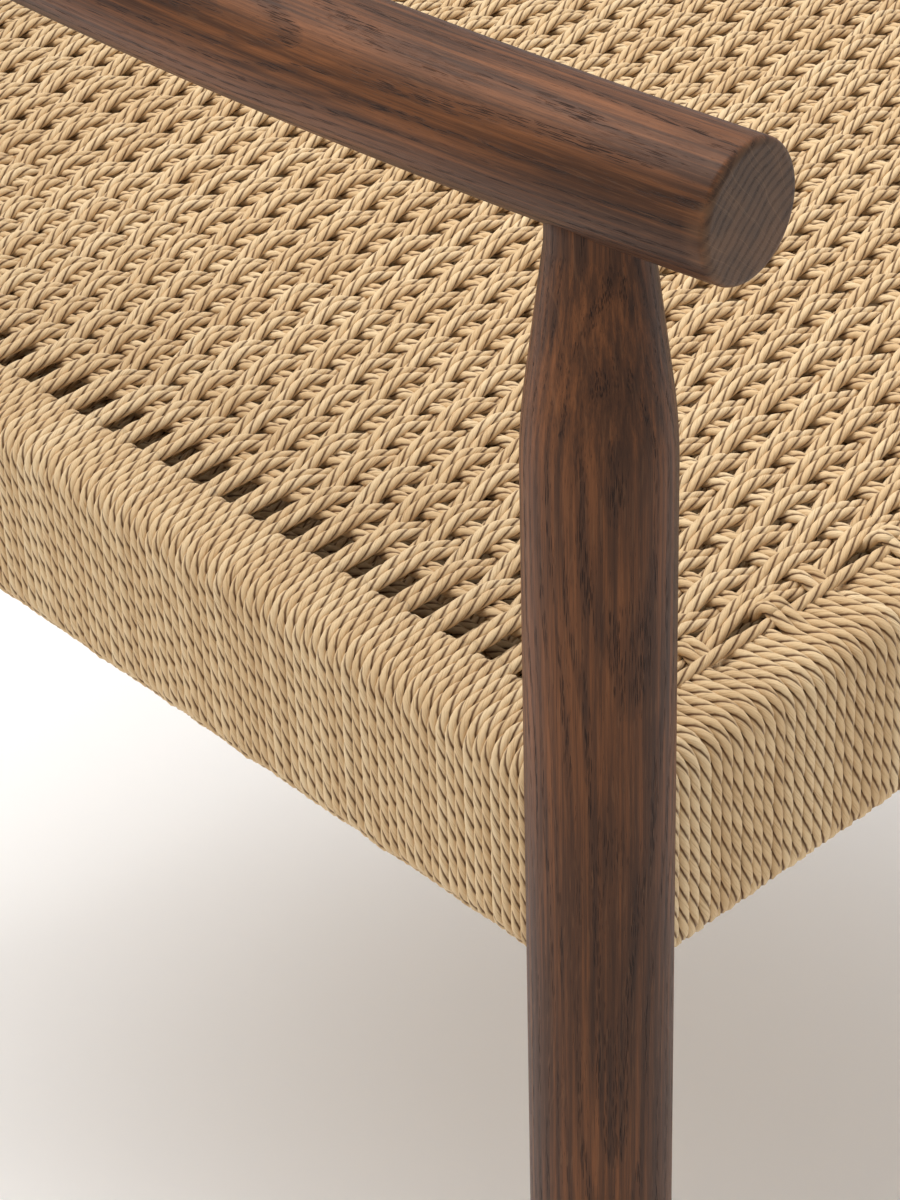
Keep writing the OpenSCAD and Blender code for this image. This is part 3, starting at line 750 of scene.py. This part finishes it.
def weft_strand(index):
    """One cord of the weft: up round the left rail, over the seat, down round the right one, back under."""
    row = index // 2
    y = rows_y[index]
    wave = rng.normal(0, 0.16, WARP_N + 4)
    left, right = weft_half(1, y), weft_half(-1, y)[::-1]
    inner = rail_x(y, WRAP_T - SIDE_FACE)
    stops = [(inner + 7.0, TOP_Z)]
    for k in range(WARP_N - 1, -1, -1):
        stops.append((warp_x(k, y), weft_z(row, k, y)))
    stops.append((-inner - 7.0, TOP_Z))
    # a cord that goes under the outermost warp drops at once beside the rail
    for side in (1, -1):
        z = stops[1 if side > 0 else -2][1]
        if from_rail(row) and z < WEAVE_Z:
            stops.insert(1 if side > 0 else len(stops) - 1, (side * (inner - 1.5), z - 0.4))
    xs, zs = np.array(stops).T
    line = []
    for i in range(len(xs) - 1):
        line += eased(xs[i], zs[i], xs[i + 1], zs[i + 1], 12 if abs(xs[i + 1] - xs[i]) > 14 else 8)
    line = np.array(line + [(xs[-1], zs[-1])])
    ys = y + np.interp(-line[:, 0], -xs, wave[:len(xs)])
    if from_rail(row) == 0:
        away = np.clip((LEG_X - 12 - np.abs(line[:, 0])) / 24, 0, 1)
        ys = ys - math.copysign(2.6, MID_Y - y) * (away * away * (3 - 2 * away))
    # away from the rails the two cords of a pair close up, and one rides a little on the other
    closed = np.clip((inner + 2 - np.abs(line[:, 0])) / 14, 0, 1) * (from_rail(row) > 0)
    pair = 1 if index % 2 else -1
    weave = np.stack([line[:, 0], ys - pair * 0.32 * closed, line[:, 1] + pair * 0.4 * closed], -1)
    jitter = rng.normal(0, 0.22, 2)
    left[:, 1] += jitter[0] * np.linspace(1, 0, len(left))
    right[:, 1] += jitter[1] * np.linspace(0, 1, len(right))
    half = (rows_y[1] - rows_y[0]) / 2
    z = under_z(y)
    start = [[0, y - half, z], [60, y - half * 0.7 + jitter[0], z], [inner - 12, y + jitter[0], z]]
    stop = [[-inner + 12, y + jitter[1], z], [-60, y + half * 0.7 + jitter[1], z], [0, y + half, z]]
    return np.concatenate([start, left, weave, right, stop])


def weft_label(points):
    """0 in the seat, 1 on the right side rail, 2 on the left one, 3 under the seat."""
    edge = rail_x(points[:, 1], WRAP_T - SIDE_FACE - 4)
    seat = np.where(points[:, 2] > MID_Z, 0, 3)
    return np.where(points[:, 0] < -edge, 1, np.where(points[:, 0] > edge, 2, seat))


def warp_strand(k, c):
    """One cord of a warp pair, c = -1 or 1: round the front rail, over the seat and back under it."""
    front, rear = warp_x(k, FRONT_Y), warp_x(k, REAR_Y)
    loop = round_rail(False)
    loop_z = MID_Z + loop[:, 1]
    start = np.stack([np.full(len(loop), front + c * WARP_SPREAD), front_mid + loop[:, 0], loop_z], -1)
    end = np.stack([np.full(len(loop), rear + c * WARP_SPREAD), rear_mid - loop[:, 0], loop_z], -1)[::-1]
    ys = [front_mid + 0.5] + list(row_mid) + [rear_mid - 0.5]
    zs = [TOP_Z] + [warp_z(r, k) for r in range(ROWS)] + [TOP_Z]
    if k % 2 == 0:
        ys[1] -= 1.5
    if (ROWS - 1 + k) % 2 == 0:
        ys[-2] += 1.5
    line = []
    for i in range(len(ys) - 1):
        line += eased(ys[i], zs[i], ys[i + 1], zs[i + 1], 6)
    line = np.array(line)
    near = np.minimum(line[:, 0] - FRONT_Y, REAR_Y - line[:, 0])
    gap = 1.78 + (WARP_SPREAD - 1.78) * np.clip(1 - (near - 15) / 20, 0, 1)
    ends = np.clip((near - 8) / 14, 0, 1)
    middle = np.array([warp_x(k, y) for y in line[:, 0]])
    at_rail = np.where(line[:, 0] < MID_Y, front, rear)
    weave = np.stack([middle * ends + at_rail * (1 - ends) + c * gap, line[:, 0], line[:, 1]], -1)
    z = EDGE_Z + 1.5 * CORD_D
    back = [[rear + c * WARP_SPREAD, rear_mid - HALF_T - 8, z],
            [warp_x(k, MID_Y) + c * WARP_SPREAD, MID_Y, z],
            [front + c * WARP_SPREAD, front_mid + HALF_T + 8, z]]
    return np.concatenate([start, weave, end, back, start[:1]])


def warp_label(points):
    edge = WRAP_T - FRONT_FACE - 4
    front, rear = points[:, 1] < FRONT_Y + edge, points[:, 1] > REAR_Y - edge
    return np.where(front, 1, np.where(rear, 2, np.where(points[:, 2] > MID_Z, 0, 3)))


def filler_strands(y_mid, facing, centres, leg_gap):
    """Plain turns round the front or rear rail, in the gaps that the warp pairs leave."""
    strands = []
    spots = [-leg_gap] + list(centres) + [leg_gap]
    for a, b in zip(spots[:-1], spots[1:]):
        at_leg = abs(a) == leg_gap or abs(b) == leg_gap
        low = a + (0 if abs(a) == leg_gap else WARP_SPREAD)
        high = b - (0 if abs(b) == leg_gap else WARP_SPREAD)
        turns = max(0, int(round((high - low) / FILL_PITCH - (0.5 if at_leg else 1))))
        if not turns:
            continue
        pitch = (high - low) / (turns + (0.5 if at_leg else 1))
        first = low + (pitch * 0.5 if abs(a) == leg_gap else pitch)
        xs = first + pitch * np.arange(turns) + rng.normal(0, 0.12, turns)
        points = []
        for i, x in enumerate(xs):
            loop = round_rail(True)
            go = np.full(len(loop), x)
            if i + 1 < len(xs):
                go[-1] = (x + xs[i + 1]) / 2
            if i:
                go[0] = (x + xs[i - 1]) / 2
            lean = rng.normal(0, 0.12)
            points.append(np.stack([go + lean * loop[:, 1] / HALF_H, y_mid + facing * loop[:, 0],
                                    MID_Z + loop[:, 1]], -1))
        strands.append(np.concatenate(points))
    return strands


front_mid = FRONT_Y - FRONT_FACE + WRAP_T / 2
rear_mid = REAR_Y + FRONT_FACE - WRAP_T / 2
weft = [(weft_strand(i), WEFT_R, (0, 1, 0), weft_label) for i in range(WEFT_N)]
cords(weft, [("seat_weft", ["seat_weft_cords"]), ("side_wraps_right", ["side_rail_wraps_right"]),
             ("side_wraps_left", ["side_rail_wraps_left"]), ("lower_weft", ["lower_weft_cords"])])
warp = [(warp_strand(k, c), WARP_R, (1, 0, 0), warp_label) for k in range(WARP_N) for c in (-1, 1)]
front_fill = filler_strands(front_mid, 1, [warp_x(k, FRONT_Y) for k in range(WARP_N)], LEG_X - LEG_GAP)
rear_fill = filler_strands(rear_mid, -1, [warp_x(k, REAR_Y) for k in range(WARP_N)], REAR_X - LEG_GAP)
fill = [(p, FILL_R, (1, 0, 0), lambda q: np.full(len(q), 1)) for p in front_fill]
fill += [(p, FILL_R, (1, 0, 0), lambda q: np.full(len(q), 2)) for p in rear_fill]
cords(warp + fill, [("seat_warp", ["seat_warp_cords"]), ("front_wraps", ["front_rail_wraps"]),
                    ("rear_wraps", ["rear_rail_wraps"]), ("lower_warp", ["lower_warp_cords"])])


# ---------------------------------------------------------------- studio

def stage_material(name, colour, roughness):
    n = Nodes(name)
    n.shader.inputs["Base Color"].default_value = (*colour, 1)
    n.shader.inputs["Roughness"].default_value = roughness
    return n.material


floor_mesh = bpy.data.meshes.new("floor")
reach = 40.0
floor_mesh.from_pydata([(-reach, -reach, 0), (reach, -reach, 0), (reach, reach, 0), (-reach, reach, 0)], [],
                       [(0, 1, 2, 3)])
floor_mesh.materials.append(stage_material("studio_floor", (0.95, 0.95, 0.95), 0.9))
floor = bpy.data.objects.new("floor", floor_mesh)
bpy.context.scene.collection.objects.link(floor)

world = bpy.data.worlds.new("studio")
bpy.context.scene.world = world
world.use_nodes = True
world.node_tree.nodes["Background"].inputs[0].default_value = (1.0, 1.0, 1.0, 1)
world.node_tree.nodes["Background"].inputs[1].default_value = 0.64


def softbox(name, at, aim, width, height, watts, colour=(1, 1, 1)):
    light = bpy.data.lights.new(name, "AREA")
    light.shape, light.size, light.size_y = "RECTANGLE", width, height
    light.energy, light.color = watts, colour
    ob = bpy.data.objects.new(name, light)
    ob.location = at
    ob.rotation_euler = (Vector(aim) - Vector(at)).to_track_quat("-Z", "Y").to_euler()
    bpy.context.scene.collection.objects.link(ob)
    return ob


seat = (-0.1, -0.1, 0.4)
softbox("key", (-0.9, 0.9, 2.4), seat, 1.4, 1.4, 30, (1.0, 0.985, 0.96))
softbox("top", (0.3, 0.2, 2.6), seat, 2.4, 2.4, 38)

camera_data = bpy.data.cameras.new("camera")
camera = bpy.data.objects.new("camera", camera_data)
bpy.context.scene.collection.objects.link(camera)
camera_data.sensor_width = 36.0
camera_data.lens = 106.27
camera_data.clip_start = 0.05
CAM_TURN, CAM_DOWN, CAM_ROLL = math.radians(46.011), math.radians(30.974), math.radians(-1.582)
ahead = Vector((math.sin(CAM_TURN) * math.cos(CAM_DOWN), math.cos(CAM_TURN) * math.cos(CAM_DOWN),
                -math.sin(CAM_DOWN)))
level = Vector((math.cos(CAM_TURN), -math.sin(CAM_TURN), 0))
above = level.cross(ahead)
right = math.cos(CAM_ROLL) * level + math.sin(CAM_ROLL) * above
top = -math.sin(CAM_ROLL) * level + math.cos(CAM_ROLL) * above
place = Vector((-LEG_X - 524.3, FRONT_Y - 458.5, EDGE_Z + 531.2)) / 1000
turned = Matrix((right, top, -ahead)).transposed().to_4x4()
camera.matrix_world = Matrix.Translation(place) @ turned
bpy.context.scene.camera = camera

bpy.context.scene.view_settings.view_transform = "Standard"
bpy.context.scene.view_settings.look = "None"
